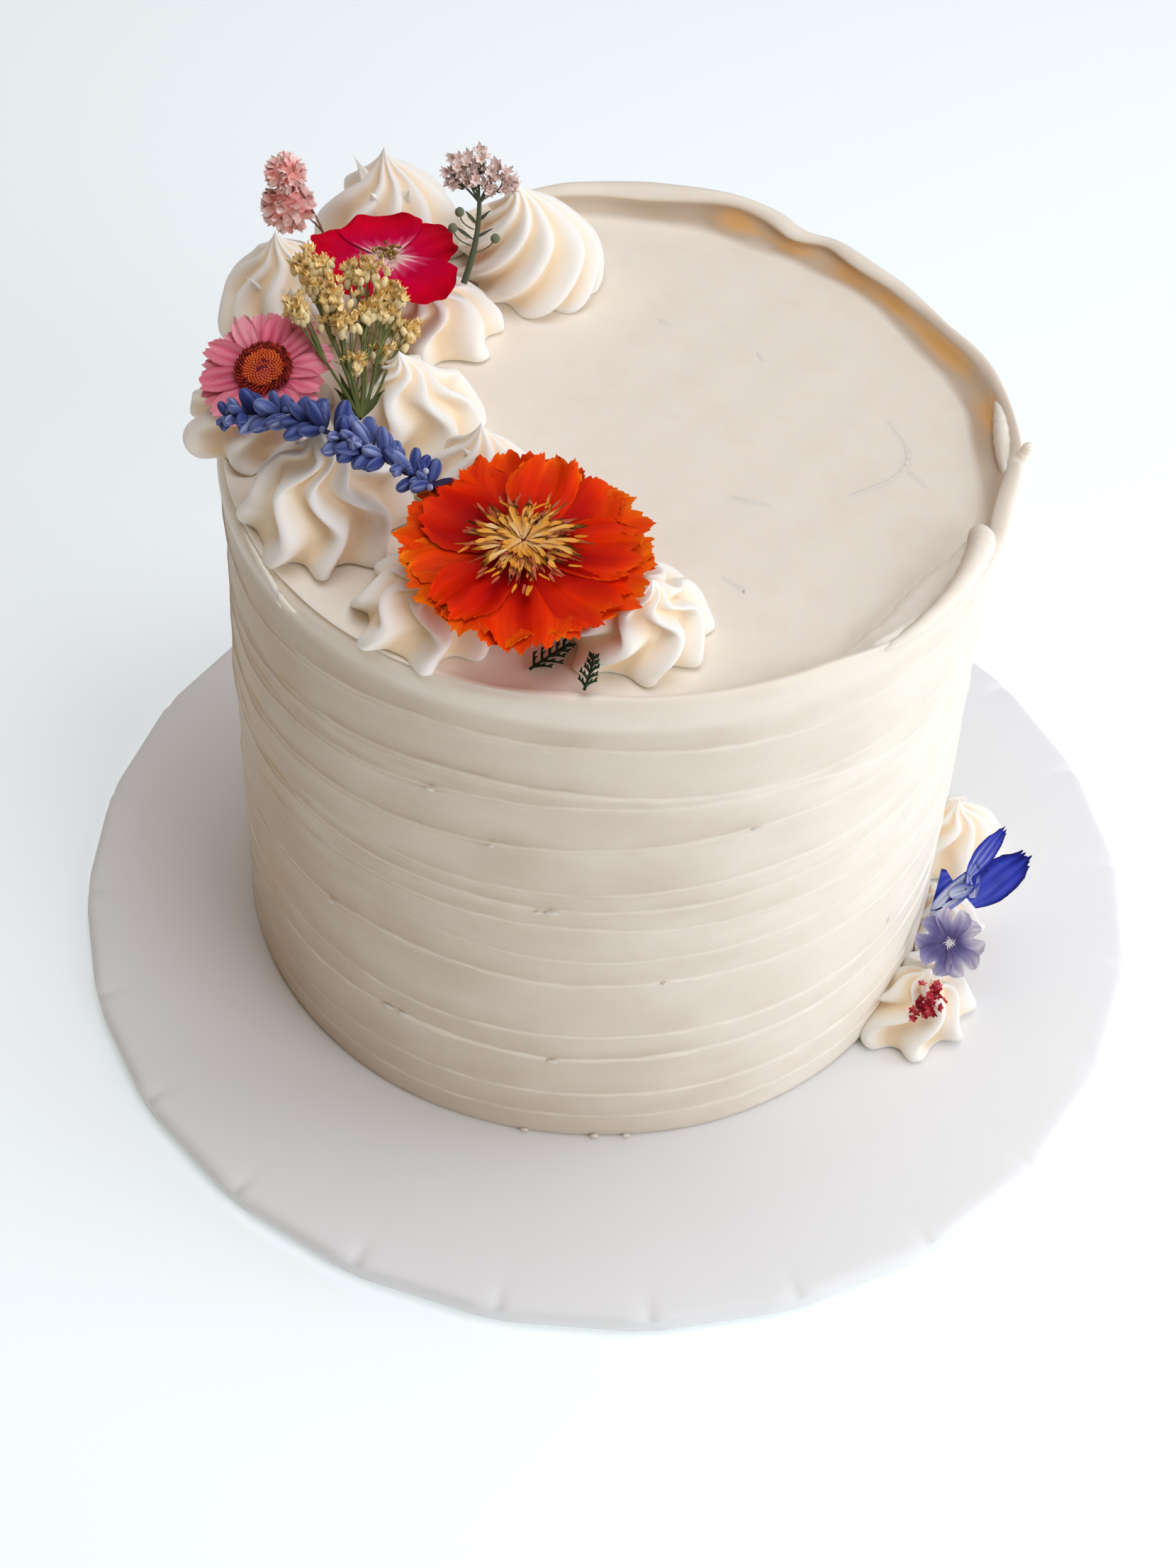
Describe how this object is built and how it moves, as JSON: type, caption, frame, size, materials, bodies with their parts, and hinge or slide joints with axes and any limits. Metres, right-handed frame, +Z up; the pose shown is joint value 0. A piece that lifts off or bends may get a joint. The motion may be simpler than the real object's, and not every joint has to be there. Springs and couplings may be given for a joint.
{
  "type": "iced cake",
  "caption": "Round single-tier cake in combed ivory icing on a white card board, with piped swirls and pressed flowers laid across them.",
  "frame": {"origin": "centre of the card board's flat underside", "axes": "+Z up; -Y is the front, the side nearest the picture's viewpoint; +X is to the right seen from the front"},
  "size_m": [0.2526, 0.2526, 0.1838],
  "materials": {
    "ivory_icing": "satin buttercream",
    "piped_icing": "satin buttercream",
    "white_card": "smooth wrapped paper",
    "orange_petal": "dry pressed petal",
    "red_petal": "dry pressed petal",
    "pink_petal": "dry pressed petal",
    "yellow_blossom": "dried blossoms and stems",
    "blue_blossom": "dried buds and stem",
    "pale_blossom": "dried blossoms and stem",
    "pink_blossom": "dried blossoms and stems",
    "dark_green_leaf": "dry pressed leaf",
    "blue_petal": "dry pressed petal",
    "violet_petal": "dry pressed petal",
    "crimson_blossom": "dried blossoms"
  },
  "bodies": {
    "root": {"board": "white_card", "cake": "ivory_icing", "swirl_01": "piped_icing", "swirl_02": "piped_icing", "swirl_03": "piped_icing", "swirl_04": "piped_icing", "swirl_05": "piped_icing", "swirl_06": "piped_icing", "swirl_07": "piped_icing", "swirl_08": "piped_icing", "swirl_09": "piped_icing", "swirl_10": "piped_icing", "base_swirl_01": "piped_icing", "base_swirl_02": "piped_icing", "base_swirl_03": "piped_icing", "orange_flower": "orange_petal", "red_flower": "red_petal", "pink_daisy": "pink_petal", "yellow_sprig": "yellow_blossom", "blue_spike": "blue_blossom", "white_sprig": "pale_blossom", "pink_blossoms": "pink_blossom", "fern_1": "dark_green_leaf", "fern_2": "dark_green_leaf", "blue_petals": "blue_petal", "violet_flower": "violet_petal", "red_bits": "crimson_blossom"}
  },
  "joints": []
}
